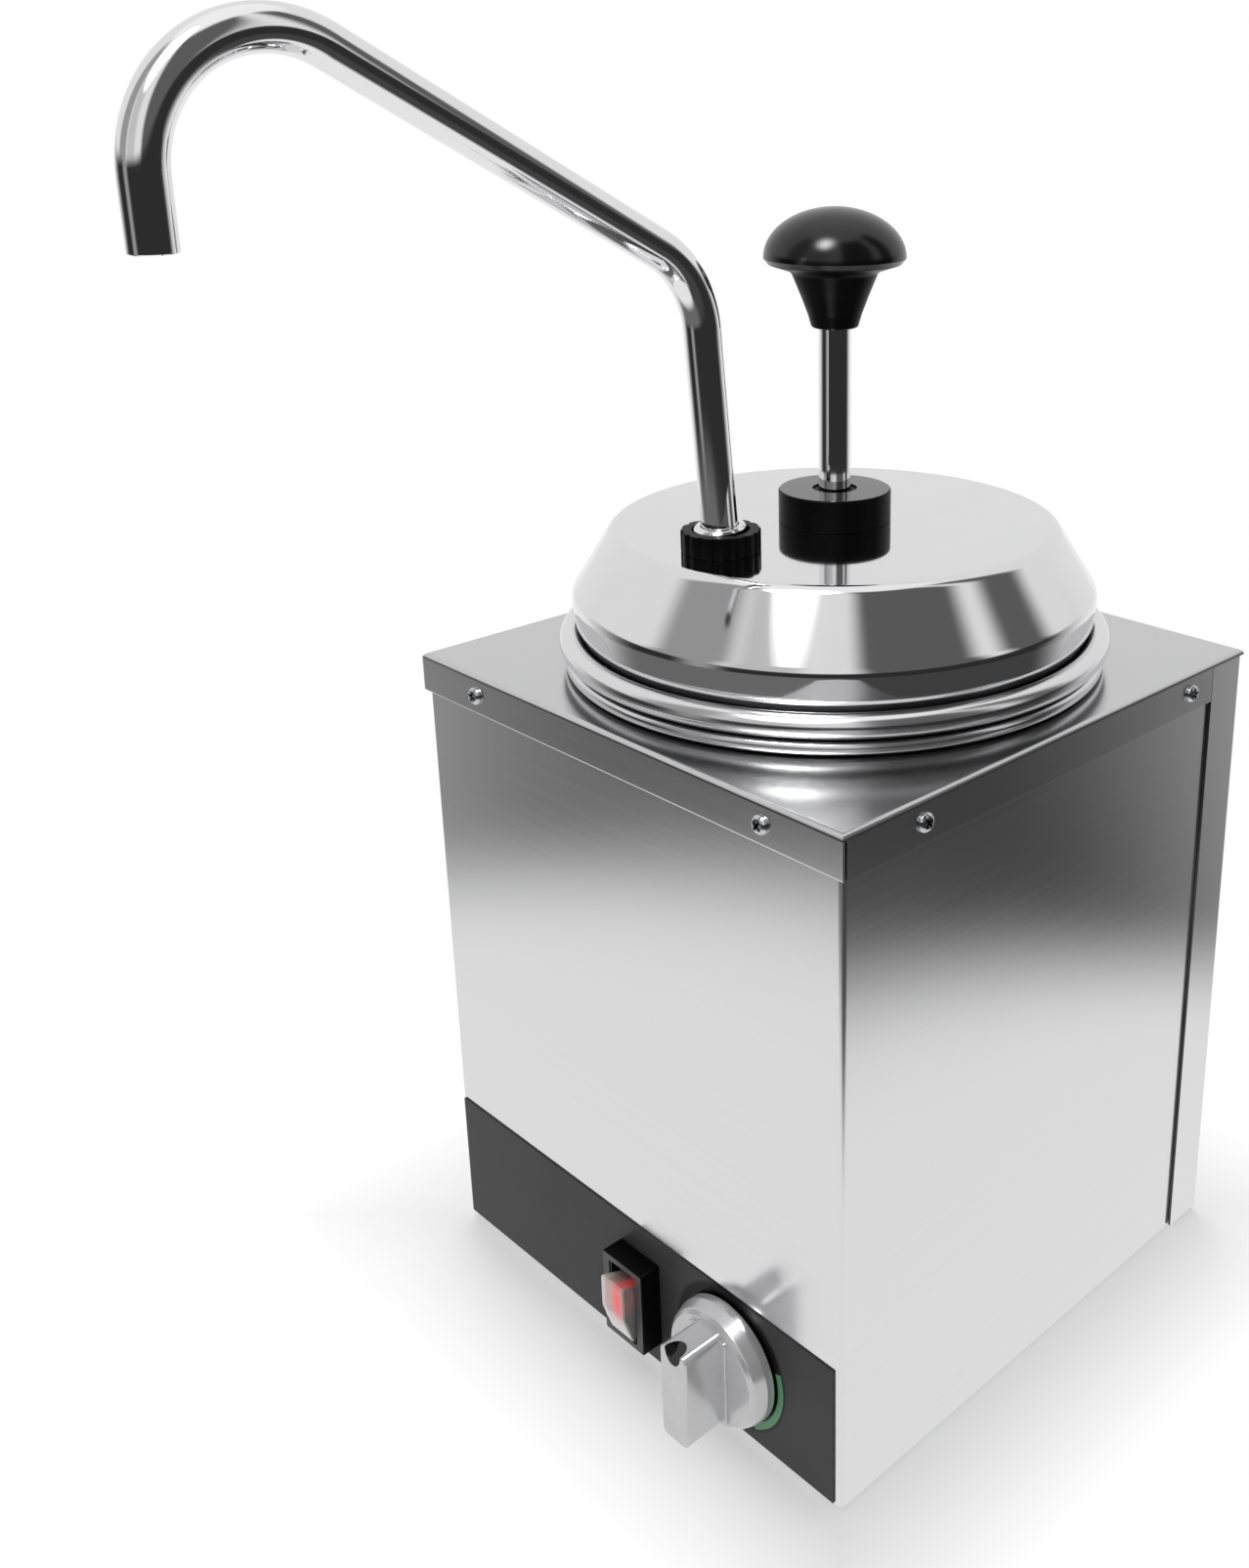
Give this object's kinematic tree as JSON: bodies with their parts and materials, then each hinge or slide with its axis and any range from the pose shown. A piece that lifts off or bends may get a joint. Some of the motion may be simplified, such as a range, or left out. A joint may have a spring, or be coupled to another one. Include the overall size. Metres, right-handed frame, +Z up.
{
  "type": "heated sauce dispenser",
  "caption": "Square stainless countertop warmer with a lift-out jar, a domed lid, a spring-return plunger pump and a long bent spout that pours in front of the case.",
  "frame": {"origin": "centre of the base plate's underside", "axes": "+Z up along the pump's plunger, +X to the right as seen from the front, the controls and the spout face -Y"},
  "size_m": [0.224, 0.3714, 0.4808],
  "materials": {
    "case_steel": "brushed stainless sheet",
    "vessel_steel": "satin drawn stainless",
    "polished_steel": "mirror-polished stainless",
    "chrome": "mirror-bright plating",
    "zinc_steel": "zinc-plated steel",
    "dark_film": "dark grey satin film",
    "black_plastic": "gloss black moulding",
    "grey_plastic": "grey food-grade moulding",
    "pale_lens": "clear lit lens",
    "satin_silver": "satin silver",
    "rubber": "matt black rubber",
    "brass": "plain brass",
    "wire": "silicone-covered wire"
  },
  "bodies": {
    "warmer": {"outer_wrap": "case_steel", "rear_panel": "case_steel", "top_cover": "case_steel", "base_plate": "zinc_steel", "cover_screw_1": "zinc_steel", "cover_screw_2": "zinc_steel", "cover_screw_3": "zinc_steel", "cover_screw_4": "zinc_steel", "cover_screw_5": "zinc_steel", "cover_screw_6": "zinc_steel", "cover_screw_7": "zinc_steel", "cover_screw_8": "zinc_steel", "foot_1": "rubber", "foot_2": "rubber", "foot_3": "rubber", "foot_4": "rubber", "control_panel": "dark_film", "switch_housing": "black_plastic", "thermostat_body": "zinc_steel", "well": "vessel_steel", "heater_element": "zinc_steel", "heater_plate": "zinc_steel", "heater_nut": "zinc_steel", "capillary_bulb": "brass", "cord_gland": "black_plastic", "gland_nut": "black_plastic", "terminal_block": "black_plastic", "wire_supply": "wire", "wire_switch_thermostat": "wire", "wire_thermostat_heater": "wire", "wire_heater_return": "wire"},
    "jar": {"jar": "polished_steel"},
    "lid_pump": {"lid": "polished_steel", "pump_collar": "black_plastic", "collar_gasket": "rubber", "rod_bush": "grey_plastic", "pump_cylinder": "vessel_steel", "valve_body": "grey_plastic", "inlet_seat": "grey_plastic", "inlet_ball_pin": "chrome", "return_spring": "chrome", "discharge_tube": "chrome", "tube_seal": "rubber", "spout_ferrule": "chrome", "spout_nut": "black_plastic", "spout_lock_ring": "black_plastic"},
    "plunger": {"plunger_knob": "black_plastic", "plunger_rod": "chrome", "piston": "grey_plastic", "piston_seal": "rubber"},
    "thermostat_dial": {"thermostat_knob": "satin_silver", "thermostat_shaft": "brass"},
    "rocker": {"switch_rocker": "pale_lens"},
    "inlet_ball": {"inlet_ball": "chrome"},
    "outlet_ball": {"outlet_ball": "chrome"}
  },
  "joints": [
    {"name": "jar_lift", "type": "slide", "parent": "warmer", "child": "jar", "axis": [0, 0, 1], "range_m": [0, 0.2]},
    {"name": "lid_lift", "type": "slide", "parent": "jar", "child": "lid_pump", "axis": [0, 0, 1], "range_m": [0, 0.2]},
    {"name": "plunger_press", "type": "slide", "parent": "lid_pump", "child": "plunger", "axis": [0, 0, -1], "range_m": [0, 0.058], "stiffness_N_per_m": 350, "springref_m": -0.03, "deforming": ["return_spring"]},
    {"name": "thermostat_turn", "type": "hinge", "parent": "warmer", "child": "thermostat_dial", "pos_m": [0.055, -0.10945, 0.0295], "axis": [0, 1, 0], "range_deg": [0, 270]},
    {"name": "rocker_tilt", "type": "hinge", "parent": "warmer", "child": "rocker", "pos_m": [0.0062, -0.11435, 0.0279], "axis": [-1, 0, 0], "range_deg": [0, 18]},
    {"name": "inlet_ball_lift", "type": "slide", "parent": "lid_pump", "child": "inlet_ball", "axis": [0, 0, 1], "range_m": [0, 0.003]},
    {"name": "outlet_ball_lift", "type": "slide", "parent": "lid_pump", "child": "outlet_ball", "axis": [0, -0.0845, 0.9964], "range_m": [0, 0.0025]}
  ]
}
